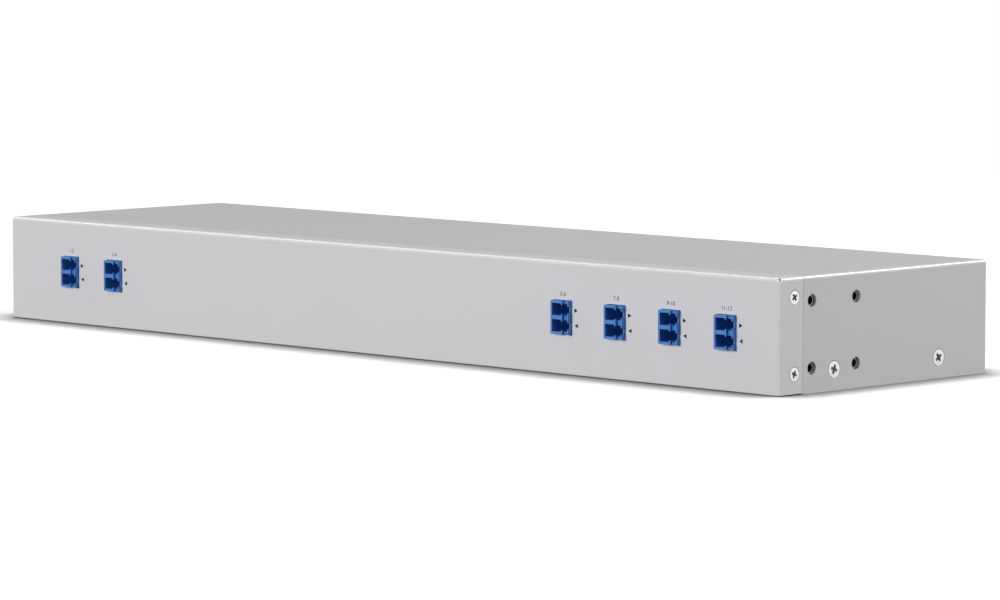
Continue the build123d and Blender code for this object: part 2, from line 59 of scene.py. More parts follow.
MM = 0.001
SMOOTH_ANGLE = math.radians(32)
MERGE_DISTANCE = 1e-7
HEAD_SLOT = 0
# Slot of the dark finish that paints shade into the screws' recesses and rims.
PAINTED_SHADE_SLOT = 1
FLOAT = "NodeSocketFloat"
VECTOR = "NodeSocketVector"
COLOUR = "NodeSocketColor"

Triple = tuple[float, float, float]
Value = bpy.types.NodeSocket | float | tuple[float, ...]

BLACK: Triple = (0.0, 0.0, 0.0)
WHITE: Triple = (1.0, 1.0, 1.0)


class Pattern(Enum):
    """How a finish's grain runs over a surface, as its scale along X, Y and Z."""

    EVEN = (1.0, 1.0, 1.0)
    ALONG_X = (0.03, 1.0, 1.0)


def opaque(tone: Triple) -> tuple[float, float, float, float]:
    """A tone as an opaque colour."""
    return (*tone, 1.0)


def feed(tree: bpy.types.ShaderNodeTree, socket: bpy.types.NodeSocket, value: Value) -> None:
    """Link a socket to another one, or set it to a constant.

    Args:
        tree: The node tree.
        socket: The input that receives the value.
        value: A socket or a constant.
    """
    if isinstance(value, bpy.types.NodeSocket):
        tree.links.new(value, socket)
    else:
        socket.default_value = value


def math_node(
    tree: bpy.types.ShaderNodeTree, operation: str, *values: Value
) -> bpy.types.NodeSocket:
    """Add a calculation.

    Args:
        tree: The node tree.
        operation: What it calculates.
        values: Its inputs in order.

    Returns:
        The result.
    """
    node = tree.nodes.new("ShaderNodeMath")
    node.operation = operation
    for socket, value in zip(node.inputs, values):
        feed(tree, socket, value)
    return node.outputs["Value"]


def ramp_node(tree: bpy.types.ShaderNodeTree, value: Value, **ends: Value) -> bpy.types.NodeSocket:
    """Add a straight ramp.

    Args:
        tree: The node tree.
        value: Where on the ramp the result lies.
        ends: The ends that are not 0 or 1: from_min, from_max, to_min or to_max.

    Returns:
        The result.
    """
    node = tree.nodes.new("ShaderNodeMapRange")
    feed(tree, node.inputs["Value"], value)
    for name, end in ends.items():
        feed(tree, node.inputs[name.replace("_", " ").title()], end)
    return node.outputs["Result"]


def mix_node(
    tree: bpy.types.ShaderNodeTree, factor: Value, first: Value, second: Value
) -> bpy.types.NodeSocket:
    """Add a mix of two colours.

    Args:
        tree: The node tree.
        factor: Share of the second colour.
        first: The colour at factor 0.
        second: The colour at factor 1.

    Returns:
        The mixed colour.
    """
    node = tree.nodes.new("ShaderNodeMix")
    node.data_type = "RGBA"
    for name, value in (("Factor", factor), ("A", first), ("B", second)):
        feed(tree, node.inputs[name], value)
    return node.outputs["Result"]


class EffectGroup:
    """A node group that several materials share."""

    NAME: ClassVar[str]

    def tree(self) -> bpy.types.ShaderNodeTree:
        """Make the group on first use.

        Returns:
            The node group.
        """
        found = bpy.data.node_groups.get(self.NAME)
        if found:
            return found
        tree = bpy.data.node_groups.new(self.NAME, "ShaderNodeTree")
        for in_out, sockets in (("INPUT", self.inputs()), ("OUTPUT", self.outputs())):
            for name, kind in sockets.items():
                tree.interface.new_socket(name=name, in_out=in_out, socket_type=kind)
        source = tree.nodes.new("NodeGroupInput").outputs
        result = tree.nodes.new("NodeGroupOutput").inputs
        for name, value in self.results(tree, source).items():
            feed(tree, result[name], value)
        return tree

    def inputs(self) -> dict[str, str]:
        """Names and kinds of the group's inputs."""
        raise NotImplementedError

    def outputs(self) -> dict[str, str]:
        """Names and kinds of the group's outputs."""
        raise NotImplementedError

    def results(
        self, tree: bpy.types.ShaderNodeTree, source: bpy.types.NodeOutputs
    ) -> dict[str, bpy.types.NodeSocket]:
        """Add the group's nodes.

        Args:
            tree: The group's tree.
            source: The group's inputs, as sockets to read.

        Returns:
            What each output gives.
        """
        raise NotImplementedError


class SurfaceGrain(EffectGroup):
    """A fine grain on a slow change of tone."""

    NAME = "surface_grain"

    def inputs(self) -> dict[str, str]:
        """Where it is, both scales, both tones and both ends of the roughness."""
        return {
            "Vector": VECTOR, "Grain Scale": FLOAT, "Tone Scale": FLOAT, "Dark": COLOUR,
            "Light": COLOUR, "Smooth": FLOAT, "Rough": FLOAT,
        }

    def outputs(self) -> dict[str, str]:
        """Tone, roughness and height of the grain."""
        return {"Color": COLOUR, "Roughness": FLOAT, "Height": FLOAT}

    def results(
        self, tree: bpy.types.ShaderNodeTree, source: bpy.types.NodeOutputs
    ) -> dict[str, bpy.types.NodeSocket]:
        """One noise for the grain and a slower one for the tone."""
        place = source["Vector"]
        grain = self._noise(tree, place, source["Grain Scale"], detail=3.0, roughness=0.6)
        tone = self._noise(tree, place, source["Tone Scale"], detail=2.0, roughness=0.5)
        return {
            "Color": mix_node(tree, tone, source["Dark"], source["Light"]),
            "Roughness": ramp_node(tree, grain, to_min=source["Smooth"], to_max=source["Rough"]),
            "Height": grain,
        }

    @staticmethod
    def _noise(
        tree: bpy.types.ShaderNodeTree, place: Value, scale: Value, detail: float, roughness: float
    ) -> bpy.types.NodeSocket:
        """Add a noise.

        Args:
            tree: The group's tree.
            place: Where the noise is read.
            scale: Its scale.
            detail: Its octaves.
            roughness: Strength of the finer octaves.

        Returns:
            The noise, from 0 to 1.
        """
        noise = tree.nodes.new("ShaderNodeTexNoise")
        for name, value in (
            ("Vector", place),
            ("Scale", scale),
            ("Detail", detail),
            ("Roughness", roughness),
        ):
            feed(tree, noise.inputs[name], value)
        return noise.outputs["Fac"]


@dataclass(frozen=True)
class FoldZone(EffectGroup):
    """The upper folds of a box, where hands have worn the paint smooth.

    Half the box's width, half its depth, its top and the folds' outer radius are in metres.
    The effect is full at full_at of the radius from the face.
    """

    NAME = "fold_zone"
    half_width: float
    half_depth: float
    top: float
    radius: float
    full_at: float = 0.75

    def inputs(self) -> dict[str, str]:
        """Where it is, and the value on the flats and on the folds."""
        return {"Vector": VECTOR, "Flat": FLOAT, "Folded": FLOAT}

    def outputs(self) -> dict[str, str]:
        """The value at that place."""
        return {"Weight": FLOAT}

    def results(
        self, tree: bpy.types.ShaderNodeTree, source: bpy.types.NodeOutputs
    ) -> dict[str, bpy.types.NodeSocket]:
        """A fold is near the top and near a wall."""
        split = tree.nodes.new("ShaderNodeSeparateXYZ")
        feed(tree, split.inputs["Vector"], source["Vector"])
        side = self._near(tree, math_node(tree, "ABSOLUTE", split.outputs["X"]), self.half_width)
        front = self._near(tree, math_node(tree, "ABSOLUTE", split.outputs["Y"]), self.half_depth)
        top = self._near(tree, split.outputs["Z"], self.top)
        fold = math_node(tree, "MULTIPLY", math_node(tree, "MAXIMUM", side, front), top)
        return {"Weight": ramp_node(tree, fold, to_min=source["Flat"], to_max=source["Folded"])}

    def _near(
        self, tree: bpy.types.ShaderNodeTree, value: bpy.types.NodeSocket, face: float
    ) -> bpy.types.NodeSocket:
        """Add a ramp that rises from 0 to 1 within the fold's radius of a face.

        Args:
            tree: The group's tree.
            value: The coordinate across the face.
            face: Where the face stands.

        Returns:
            The ramp's result.
        """
        return ramp_node(
            tree, value, from_min=face - self.radius, from_max=face - self.full_at * self.radius
        )


@dataclass(frozen=True)
class PaintedShadeWall(EffectGroup):
    """The tray's side walls and nuts, hidden behind the cover, given a near-black painted shade.

    They lie beyond this distance from the middle, above this height and in front of this
    depth, in metres.
    """

    NAME = "painted_shade_wall"
    beyond: float
    above: float
    before: float

    def inputs(self) -> dict[str, str]:
        """Where it is, and the paint's tone and the tone of the painted shade."""
        return {"Vector": VECTOR, "Painted": COLOUR, "Painted Shade": COLOUR}

    def outputs(self) -> dict[str, str]:
        """The tone at that place."""
        return {"Color": COLOUR}

    def results(
        self, tree: bpy.types.ShaderNodeTree, source: bpy.types.NodeOutputs
    ) -> dict[str, bpy.types.NodeSocket]:
        """Painted shade only where all three tests hold."""
        split = tree.nodes.new("ShaderNodeSeparateXYZ")
        feed(tree, split.inputs["Vector"], source["Vector"])
        across = math_node(tree, "ABSOLUTE", split.outputs["X"])
        mask = math_node(tree, "GREATER_THAN", across, self.beyond)
        for value, operation, limit in (
            (split.outputs["Z"], "GREATER_THAN", self.above),
            (split.outputs["Y"], "LESS_THAN", self.before),
        ):
            mask = math_node(tree, "MULTIPLY", mask, math_node(tree, operation, value, limit))
        return {"Color": mix_node(tree, mask, source["Painted"], source["Painted Shade"])}


@dataclass(frozen=True)
class Finish:
    """A surface finish made of one tone, its grain and its gloss.

    Grain is the width of one grain, patch that of the slow change of tone, and relief the
    depth of the grain, in metres. With folds, the clear coat goes from coat on the flats to
    fold_coat on the folds. Hidden walls get a near-black tone as painted shade.
    """

    name: str
    tone: Triple
    roughness: float
    spread: float = 0.06
    contrast: float = 0.03
    grain: float = 0.4 * MM
    patch: float = 30 * MM
    relief: float = 0.01 * MM
    metallic: float = 0.0
    coat: float = 0.0
    coat_roughness: float = 0.1
    coat_ior: float = 1.5
    specular: float = 0.5
    folds: FoldZone | None = None
    fold_coat: float = 1.0
    hidden: PaintedShadeWall | None = None
    # Near-black tone: painted shade on walls hidden behind the cover.
    painted_shade_tone: Triple = (0.045, 0.045, 0.047)
    pattern: Pattern = Pattern.EVEN

    def material(self) -> bpy.types.Material:
        """Make the finish's material on first use.

        Returns:
            The material.
        """
        found = bpy.data.materials.get(self.name)
        if found:
            return found
        material = bpy.data.materials.new(self.name)
        material.use_nodes = True
        tree = material.node_tree
        place = tree.nodes.new("ShaderNodeTexCoord").outputs["Object"]
        mapping = tree.nodes.new("ShaderNodeMapping")
        mapping.inputs["Scale"].default_value = self.pattern.value
        feed(tree, mapping.inputs["Vector"], place)
        grain = self._place_group(tree, SurfaceGrain(), {
            "Vector": mapping.outputs["Vector"],
            "Grain Scale": 1 / self.grain,
            "Tone Scale": 1 / self.patch,
            "Dark": self._shade(1 - self.contrast),
            "Light": self._shade(1 + self.contrast),
            "Smooth": self.roughness - self.spread,
            "Rough": self.roughness + self.spread,
        })
        tone, coat = grain["Color"], self.coat
        if self.folds:
            coat = self._place_group(tree, self.folds, {
                "Vector": place, "Flat": self.coat, "Folded": self.fold_coat,
            })["Weight"]
        # Painted shade: walls hidden behind the cover get a near-black tone.
        if self.hidden:
            tone = self._place_group(tree, self.hidden, {
                "Vector": place, "Painted": tone, "Painted Shade": opaque(self.painted_shade_tone),
            })["Color"]
        bump = tree.nodes.new("ShaderNodeBump")
        bump.inputs["Distance"].default_value = self.relief
        feed(tree, bump.inputs["Height"], grain["Height"])
        surface = tree.nodes["Principled BSDF"]
        for name, value in (
            ("Base Color", tone),
            ("Roughness", grain["Roughness"]),
            ("Normal", bump.outputs["Normal"]),
            ("Metallic", self.metallic),
            ("Coat Weight", coat),
            ("Coat Roughness", self.coat_roughness),
            ("Coat IOR", self.coat_ior),
            ("Specular IOR Level", self.specular),
        ):
            feed(tree, surface.inputs[name], value)
        return material

    @staticmethod
    def _place_group(
        tree: bpy.types.ShaderNodeTree, group: EffectGroup, values: dict[str, Value]
    ) -> bpy.types.NodeOutputs:
        """Place an effect in the material.

        Args:
            tree: The material's node tree.
            group: The effect.
            values: What each of its inputs gets.

        Returns:
            The effect's outputs.
        """
        node = tree.nodes.new("ShaderNodeGroup")
        node.node_tree = group.tree()
        for name, value in values.items():
            feed(tree, node.inputs[name], value)
        return node.outputs

    def _shade(self, factor: float) -> tuple[float, float, float, float]:
        """The tone made lighter or darker by a factor, as an opaque colour."""
        return opaque(tuple(min(1.0, channel * factor) for channel in self.tone))


BOX_FOLDS = FoldZone(half_width=220 * MM, half_depth=60 * MM, top=43.6 * MM, radius=1.5 * MM)
# Where the tray's hidden side walls get a near-black painted shade.
TRAY_WALL_SHADE = PaintedShadeWall(beyond=213 * MM, above=3 * MM, before=57 * MM)
POWDER_COAT = Finish(
    "powder_coat", (0.6, 0.6, 0.6), roughness=0.65, contrast=0.012, grain=0.35 * MM,
    patch=60 * MM, relief=0.012 * MM, coat_roughness=0.2, coat_ior=1.9, specular=0.2,
)
BEZEL_PAINT = replace(POWDER_COAT, name="bezel_paint", tone=(0.6, 0.598, 0.62), folds=BOX_FOLDS)
COVER_PAINT = replace(POWDER_COAT, name="cover_paint", tone=(0.54, 0.54, 0.547), folds=BOX_FOLDS)
TRAY_PAINT = Finish(
    "tray_paint", (0.52, 0.52, 0.527), roughness=0.55, contrast=0.015, grain=0.35 * MM,
    patch=60 * MM, relief=0.012 * MM, specular=0.2, hidden=TRAY_WALL_SHADE,
)
ZINC = Finish(
    "zinc_plate", (0.62, 0.63, 0.65), roughness=0.36, contrast=0.06, grain=0.8 * MM,
    patch=6 * MM, relief=0.004 * MM, metallic=1.0,
)
NICKEL = Finish(
    "nickel_plate", (0.62, 0.62, 0.61), roughness=0.36, contrast=0.05, grain=0.25 * MM,
    patch=2 * MM, relief=0.004 * MM, metallic=1.0,
)
FILTER_STEEL = Finish(
    "filter_steel", (0.6, 0.6, 0.6), roughness=0.28, contrast=0.05, grain=0.2 * MM,
    patch=6 * MM, relief=0.003 * MM, metallic=1.0, pattern=Pattern.ALONG_X,
)
# A dark finish that paints shade into the screws' cross recesses and head rims.
RECESS_PAINTED_SHADE = Finish(
    "recess_painted_shade", (0.16, 0.16, 0.16), roughness=0.6, contrast=0.1, grain=0.1 * MM,
    patch=1 * MM, relief=0.004 * MM, metallic=0.4, specular=0.2,
)
ADAPTER_BLUE = Finish(
    "adapter_blue", (0.035, 0.17, 0.5), roughness=0.36, contrast=0.05, grain=0.15 * MM,
    patch=4 * MM, relief=0.004 * MM,
)
PLUG_BLUE = Finish("plug_blue", (0.02, 0.14, 0.5), roughness=0.4, grain=0.15 * MM, patch=4 * MM)
ZIRCONIA = Finish(
    "zirconia", (0.86, 0.85, 0.8), roughness=0.2, spread=0.03, contrast=0.01, grain=0.1 * MM,
    patch=2 * MM, relief=0.001 * MM,
)
BOOT_RUBBER = Finish(
    "boot_rubber", (0.75, 0.75, 0.72), roughness=0.65, grain=0.2 * MM, patch=5 * MM,
)
LEAD_SHEATH = Finish(
    "lead_sheath", (0.85, 0.62, 0.04), roughness=0.42, grain=0.3 * MM, patch=8 * MM,
)
CASSETTE_BLACK = Finish(
    "cassette_black", (0.02, 0.02, 0.022), roughness=0.55, grain=0.3 * MM, patch=20 * MM,
)
RACK_WHITE = Finish("rack_white", (0.72, 0.72, 0.7), roughness=0.5, grain=0.3 * MM, patch=12 * MM)
GLAND_RUBBER = Finish(
    "gland_rubber", (0.02, 0.02, 0.02), roughness=0.75, grain=0.3 * MM, patch=8 * MM,
)
COMB_GREY = Finish("comb_grey", (0.22, 0.23, 0.24), roughness=0.55, grain=0.3 * MM, patch=8 * MM)
MARK_INK = Finish(
    "mark_ink", (0.006, 0.006, 0.007), roughness=0.6, contrast=0.1, grain=0.1 * MM,
    patch=1 * MM, relief=0.002 * MM, specular=0.15,
)


def dress(node: str, finish: Finish) -> None:
    """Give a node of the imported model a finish.

    Args:
        node: The node's name.
        finish: Its finish.
    """
    materials = frame["nodes"][node].data.materials
    materials.clear()
    materials.append(finish.material())


def add_piece(name: str, mesh: bpy.types.Mesh, finish: Finish) -> bpy.types.Object:
    """Put a new piece in the scene and let it ride on the part.

    Args:
        name: The piece's name.
        mesh: Its mesh, in the part's frame.
        finish: Its finish.

    Returns:
        The new object.
    """
    mesh.materials.append(finish.material())
    piece = bpy.data.objects.new(name, mesh)
    bpy.context.scene.collection.objects.link(piece)
    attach(piece, "root")
    log.info("%s: %d faces", name, len(mesh.polygons))
    return piece


def mesh_from(bm: bmesh.types.BMesh, name: str, sharp_angle: float | None = None) -> bpy.types.Mesh:
    """Turn a bmesh into a mesh.

    Args:
        bm: The bmesh, which is freed.
        name: The mesh's name.
        sharp_angle: Edges up to this angle, in radians, are shaded smooth.

    Returns:
        The mesh.
    """
    mesh = bpy.data.meshes.new(name)
    for face in bm.faces:
        face.smooth = sharp_angle is not None
    bm.to_mesh(mesh)
    bm.free()
    if sharp_angle is not None:
        mesh.set_sharp_from_angle(angle=sharp_angle)
    return mesh


@dataclass
class Chassis:
    """The folded sheet-steel box: base tray, top cover, front bezel and adapter bracket."""

    bezel: Finish = BEZEL_PAINT
    cover: Finish = COVER_PAINT
    tray: Finish = TRAY_PAINT
    bracket: Finish = ZINC

    def build(self) -> None:
        """Dress the sheets."""
        dress("front_bezel", self.bezel)
        dress("top_cover", self.cover)
        dress("base_tray", self.tray)
        dress("adapter_bracket", self.bracket)


@dataclass
class CountersunkScrew:
    """A countersunk screw with a cross recess and a fine thread, along its own -Z.

    The thread's land ends and its root lies at these shares of the pitch.
    """

    head_radius: float
    shank_radius: float
    length: float
    recess: float
    recess_depth: float = 1.0 * MM
    recess_taper: float = 0.45
    rim_bevel: float = 0.22 * MM
    sink: float = 0.06 * MM
    thread_pitch: float = 0.5 * MM
    thread_depth: float = 0.2 * MM
    thread_land: float = 0.3
    thread_root: float = 0.65
    segments: int = 48

    def mesh_at(self, name: str, places: list[Matrix]) -> bpy.types.Mesh:
        """Build one mesh with a screw at each place.

        Args:
            name: The mesh's name.
            places: Matrices that take the screw's own frame to the part's frame.

        Returns:
            The mesh.
        """
        bm = bmesh.new()
        for place in places:
            fresh = self._screw(bm)
            bmesh.ops.transform(bm, matrix=place, verts=fresh)
        bmesh.ops.recalc_face_normals(bm, faces=bm.faces)
        return mesh_from(bm, name, SMOOTH_ANGLE)

    def _screw(self, bm: bmesh.types.BMesh) -> list[bmesh.types.BMVert]:
        """Add one screw at the origin, its head in the XY plane.

        Args:
            bm: The bmesh that receives it.

        Returns:
            The screw's vertices.
        """
        before = set(bm.verts)
        outline = [bm.verts.new((radius, 0, height)) for radius, height in self._profile()]
        lines = [bm.edges.new(pair) for pair in zip(outline, outline[1:])]
        bmesh.ops.spin(
            bm, geom=outline + lines, cent=(0, 0, 0), axis=(0, 0, 1), angle=2 * math.pi,
            steps=self.segments, use_merge=True,
        )
        fresh = [vert for vert in bm.verts if vert not in before]
        bmesh.ops.remove_doubles(bm, verts=fresh, dist=MERGE_DISTANCE)
        fresh = [vert for vert in bm.verts if vert not in before]
        rim = [edge for edge in {e for v in fresh for e in v.link_edges} if edge.is_boundary]
        # The bevel round the head's rim gets the dark finish: painted shade for the shadowed ring
        # at the head's edge.
        for face in {face for edge in rim for face in edge.link_faces}:
            face.material_index = PAINTED_SHADE_SLOT
        self._recess(bm, rim)
        return [vert for vert in bm.verts if vert not in before]

    def _profile(self) -> list[tuple[float, float]]:
        """Radius and height of the outline, from the head's rim to the tip on the axis."""
        cone_foot = self.shank_radius - self.head_radius
        root_radius = self.shank_radius - self.thread_depth
        points = [
            (self.head_radius - self.rim_bevel, -self.sink),
            (self.head_radius, -self.sink - self.rim_bevel),
            (self.shank_radius, cone_foot),
        ]
        turns = int((self.length + cone_foot) / self.thread_pitch) - 1
        for turn in range(turns):
            height = cone_foot - turn * self.thread_pitch
            points += [
                (self.shank_radius, height - self.thread_land * self.thread_pitch),
                (root_radius, height - self.thread_root * self.thread_pitch),
                (self.shank_radius, height - self.thread_pitch),
            ]
        return points + [(root_radius, -self.length), (0.0, -self.length)]

    def _recess(self, bm: bmesh.types.BMesh, rim: list[bmesh.types.BMEdge]) -> None:
        """Close the head with a face that has a tapered cross recess.

        Args:
            bm: The bmesh.
            rim: The open edge loop of the head.
        """
        grid = bmesh.ops.create_grid(bm, x_segments=3, y_segments=3, size=self.recess / 2)["verts"]
        bmesh.ops.translate(bm, verts=grid, vec=(0, 0, -self.sink))
        faces = {face for vert in grid for face in vert.link_faces}
        half_arm = self.recess / 6
        middles = {face: face.calc_center_median() for face in faces}
        corners = [
            face for face, middle in middles.items() if min(abs(middle.x), abs(middle.y)) > half_arm
        ]
        bmesh.ops.delete(bm, geom=corners, context="FACES")
        cross = [face for face in faces if face.is_valid]
        border = [edge for edge in {e for f in cross for e in f.edges} if edge.is_boundary]
        head = bmesh.ops.bridge_loops(bm, edges=rim + border)["faces"]
        for face in head:
            face.material_index = HEAD_SLOT
        sunk = bmesh.ops.extrude_face_region(bm, geom=cross)["geom"]
        floor = [item for item in sunk if isinstance(item, bmesh.types.BMVert)]
        bmesh.ops.delete(bm, geom=cross, context="FACES_ONLY")
        # The recess's walls and floor get the dark finish: painted shade in the cross recess.
        for face in {face for vert in floor for face in vert.link_faces}:
            face.material_index = PAINTED_SHADE_SLOT
        bmesh.ops.scale(bm, verts=floor, vec=(self.recess_taper, self.recess_taper, 1))
        bmesh.ops.translate(bm, verts=floor, vec=(0, 0, -self.recess_depth))


M3_SCREW = CountersunkScrew(2.75 * MM, 1.5 * MM, 6.0 * MM, recess=2.9 * MM)
M4_SCREW = CountersunkScrew(
    3.35 * MM, 2.0 * MM, 6.0 * MM, recess=3.6 * MM, thread_pitch=0.7 * MM,
)


@dataclass
class SideScrews:
    """The screws in both side walls, which hold the bezel and the cover."""

    bezel: CountersunkScrew
    cover: CountersunkScrew
    turns: tuple[float, ...] = (12.0, 52.0, -20.0, 34.0)

    def build(self) -> None:
        """Replace both nodes of screws by finer ones on the same axes."""
        for node, screw in (("bezel_screws", self.bezel), ("cover_screws", self.cover)):
            mesh = screw.mesh_at(f"{node}_fine", self._places(node, screw))
            piece = add_piece(f"{node}_fine", mesh, NICKEL)
            # Second slot: the dark finish that paints shade in recesses and on rims.
            mesh.materials.append(RECESS_PAINTED_SHADE.material())
            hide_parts(node)

    def _places(self, node: str, screw: CountersunkScrew) -> list[Matrix]:
        """Find each screw's place from its node's box.

        Args:
            node: The node of four screws, two on each side.
            screw: The screw's sizes.

        Returns:
            One matrix for each screw.
        """
        low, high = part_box(node)
        depths = self._row(low.y, high.y, screw.head_radius)
        heights = self._row(low.z, high.z, screw.head_radius)
        places = []
        for face, way in ((low.x, -1), (high.x, 1)):
            for depth in depths:
                for height in heights:
                    turn = math.radians(self.turns[len(places) % len(self.turns)])
                    places.append(
                        Matrix.Translation((face, depth, height))
                        @ Matrix.Rotation(way * math.pi / 2, 4, "Y")
                        @ Matrix.Rotation(turn, 4, "Z")
                    )
        return places

    @staticmethod
    def _row(low: float, high: float, radius: float) -> list[float]:
        """Find where the screws of a row stand between two ends.

        Args:
            low: The row's lower end.
            high: The row's upper end.
            radius: Radius of the screws' heads.

        Returns:
            One centre where the row is no longer than a head, and otherwise two.
        """
        if high - low < 3 * radius:
            return [(low + high) / 2]
        return [low + radius, high - radius]


@dataclass
class EarNuts:
    """The bright rims of the weld nuts behind the ear holes in both side walls.

    The wall is where the tray's outer face stands, and the film is the rim's height.
    """

    wall: float = 218.6 * MM
    inner_radius: float = 1.72 * MM
    outer_radius: float = 2.08 * MM
    film: float = 0.12 * MM
    segments: int = 40

    def build(self) -> None:
        """Put a rim round the bore of each nut."""
        bm = bmesh.new()
        for mount in frame["record"]["mounts"]:
            if mount["kind"] != "bolt_pattern":
                continue
            centre = Vector(mount["pos_m"])
            pitch = mount["dims"]["spacing_x_mm"] * MM
            way = 1 if centre.x > 0 else -1
            for depth in (centre.y - pitch / 2, centre.y + pitch / 2):
                for height in (centre.z - pitch / 2, centre.z + pitch / 2):
                    self._rim(bm, Matrix.Translation((way * self.wall, depth, height)), way)
        bmesh.ops.recalc_face_normals(bm, faces=bm.faces)
        mesh = mesh_from(bm, "ear_nut_rims", SMOOTH_ANGLE)
        add_piece("ear_nut_rims", mesh, ZINC)

    def _rim(self, bm: bmesh.types.BMesh, place: Matrix, way: int) -> None:
        """Add one rim, a low ring on the tray's outer face.

        Args:
            bm: The bmesh that receives it.
            place: The rim's place.
            way: 1 on the right-hand side and -1 on the left.
        """
        before = set(bm.verts)
        outline = [
            bm.verts.new((0, self.inner_radius, 0)),
            bm.verts.new((way * self.film, self.inner_radius, 0)),
            bm.verts.new((way * self.film, self.outer_radius, 0)),
            bm.verts.new((0, self.outer_radius, 0)),
        ]
        lines = [bm.edges.new(pair) for pair in zip(outline, outline[1:] + outline[:1])]
        bmesh.ops.spin(
            bm, geom=outline + lines, cent=(0, 0, 0), axis=(1, 0, 0), angle=2 * math.pi,
            steps=self.segments, use_merge=True,
        )
        fresh = [vert for vert in bm.verts if vert not in before]
        bmesh.ops.remove_doubles(bm, verts=fresh, dist=MERGE_DISTANCE)
        fresh = [vert for vert in bm.verts if vert not in before]
        bmesh.ops.transform(bm, matrix=place, verts=fresh)


PORTS = ("common", "express", "channel_1", "channel_2", "channel_3", "channel_4")


@dataclass
class FibrePort:
    """One duplex adapter with the plugs behind it, and the marks printed round it.

    The marks stand across and up from the port's centre.
    """

    name: str
    first_fibre: int
    mark_size: float = 1.75 * MM
    mark_film: float = 0.02 * MM
    upper_mark: tuple[float, float] = (6.1 * MM, 2.9 * MM)
    lower_mark: tuple[float, float] = (6.2 * MM, -2.85 * MM)
    number_height: float = 8.2 * MM
    number_size: float = 2.3 * MM
    number_resolution: int = 6

    def build(self) -> None:
        """Dress the port's nodes and print its marks."""
        dress(f"{self.name}_front_shell", ADAPTER_BLUE)
        dress(f"{self.name}_rear_shell", ADAPTER_BLUE)
        dress(f"{self.name}_plugs", PLUG_BLUE)
        add_piece(f"{self.name}_marks", self._marks(), MARK_INK)

    def _marks(self) -> bpy.types.Mesh:
        """Two arrow heads beside the port and its fibres' numbers above it, as films of ink."""
        low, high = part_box(f"{self.name}_front_shell")
        centre = Vector(((low.x + high.x) / 2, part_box("front_bezel")[0].y, (low.z + high.z) / 2))
        bm = bmesh.new()
        half = self.mark_size / 2
        across, up = self.upper_mark
        self._arrow(bm, (across, up + half), (across, up - half), (across + self.mark_size, up))
        across, up = self.lower_mark
        base = across + self.mark_size
        self._arrow(bm, (base, up - half), (base, up + half), (across, up))
        self._numbers(bm)
        bmesh.ops.transform(bm, matrix=Matrix.Translation(centre), verts=bm.verts)
        return mesh_from(bm, f"{self.name}_marks")

    def _arrow(self, bm: bmesh.types.BMesh, *corners: tuple[float, float]) -> None:
        """Add a flat arrow head that stands off the panel by the film's thickness.

        Args:
            bm: The bmesh that receives it.
            corners: Its three corners, across and up from the port's centre.
        """
        face = bm.faces.new([bm.verts.new((across, 0, up)) for across, up in corners])
        raised = bmesh.ops.extrude_face_region(bm, geom=[face])["geom"]
        top = [item for item in raised if isinstance(item, bmesh.types.BMVert)]
        bmesh.ops.translate(bm, verts=top, vec=(0, -self.mark_film, 0))
        bmesh.ops.recalc_face_normals(bm, faces=bm.faces)

    def _numbers(self, bm: bmesh.types.BMesh) -> None:
        """Add the numbers of the port's two fibres, centred above the adapter.

        Args:
            bm: The bmesh that receives it.
        """
        curve = bpy.data.curves.new(f"{self.name}_numbers", "FONT")
        curve.body = f"{self.first_fibre}-{self.first_fibre + 1}"
        curve.size = self.number_size
        curve.align_x = "CENTER"
        curve.resolution_u = self.number_resolution
        curve.extrude = self.mark_film / 2
        holder = bpy.data.objects.new(f"{self.name}_numbers", curve)
        mesh = bpy.data.meshes.new_from_object(holder)
        bpy.data.objects.remove(holder)
        place = Matrix.Translation((0, -self.mark_film / 2, self.number_height))
        mesh.transform(place @ Matrix.Rotation(math.pi / 2, 4, "X"))
        bm.from_mesh(mesh)
        bpy.data.meshes.remove(mesh)


@dataclass
class FilterCassette:
    """Everything sealed inside the box: cassette, filters, leads and what carries them."""

    def build(self) -> None:
        """Dress the inner pieces."""
        for node, finish in (
            ("adapter_clips", ZINC),
            ("sleeve_holders", ADAPTER_BLUE),
            ("sleeves", ZIRCONIA),
            ("ferrules", ZIRCONIA),
            ("boots", BOOT_RUBBER),
            ("leads", LEAD_SHEATH),
            ("cassette_base", CASSETTE_BLACK),
            ("cassette_lid", CASSETTE_BLACK),
            ("cassette_screws", NICKEL),
            ("standoffs", ZINC),
            ("filter_rack", RACK_WHITE),
            ("mux_filters", FILTER_STEEL),
            ("demux_filters", FILTER_STEEL),
            ("left_gland", GLAND_RUBBER),
            ("right_gland", GLAND_RUBBER),
            ("left_comb", COMB_GREY),
            ("right_comb", COMB_GREY),
        ):
            dress(node, finish)


@dataclass(frozen=True)
class Softbox:
    """A rectangular studio lamp that points at the part."""

    name: str
    place: Triple
    width: float
    height: float
    power: float
    aim: Triple = (0.0, 0.0, 0.02)

    def build(self) -> None:
        """Put the lamp in the scene."""
        lamp = bpy.data.lights.new(self.name, "AREA")
        lamp.shape = "RECTANGLE"
        lamp.size = self.width
        lamp.size_y = self.height
        lamp.energy = self.power
        holder = bpy.data.objects.new(self.name, lamp)
        holder.location = self.place
        direction = Vector(self.aim) - Vector(self.place)
        holder.rotation_euler = direction.to_track_quat("-Z", "Y").to_euler()
        bpy.context.scene.collection.objects.link(holder)


